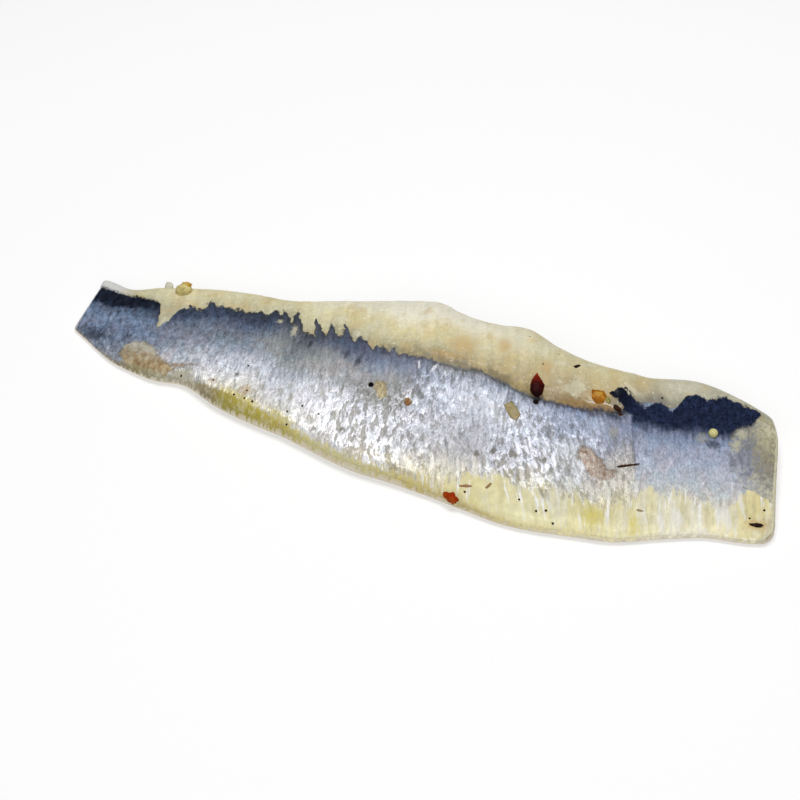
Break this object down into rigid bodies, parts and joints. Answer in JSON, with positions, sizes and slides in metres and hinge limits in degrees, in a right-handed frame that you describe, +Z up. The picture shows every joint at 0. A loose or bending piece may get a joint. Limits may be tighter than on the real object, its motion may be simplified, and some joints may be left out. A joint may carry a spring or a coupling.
{
  "type": "herring fillet in oil",
  "caption": "Boned, skin-on side of herring, marinated in oil with spices, lying flat on its cut side with the silver skin up.",
  "frame": {"origin": "middle of the fillet's outline on the plane that it lies on", "axes": "+X along the fish towards the head end, +Y towards the back of the fish, +Z up out of the skin side"},
  "size_m": [0.1828, 0.0644, 0.0135],
  "materials": {
    "fish": "wet silver-blue herring skin and cream flesh under a thin film of oil",
    "chilli": "oily dried chilli skin",
    "pepper": "oily dried sweet pepper and onion",
    "mustard": "smooth pale mustard seed",
    "herb": "dark dried herb and cracked peppercorn"
  },
  "bodies": {
    "root": {"fillet": "fish"}
  },
  "joints": []
}
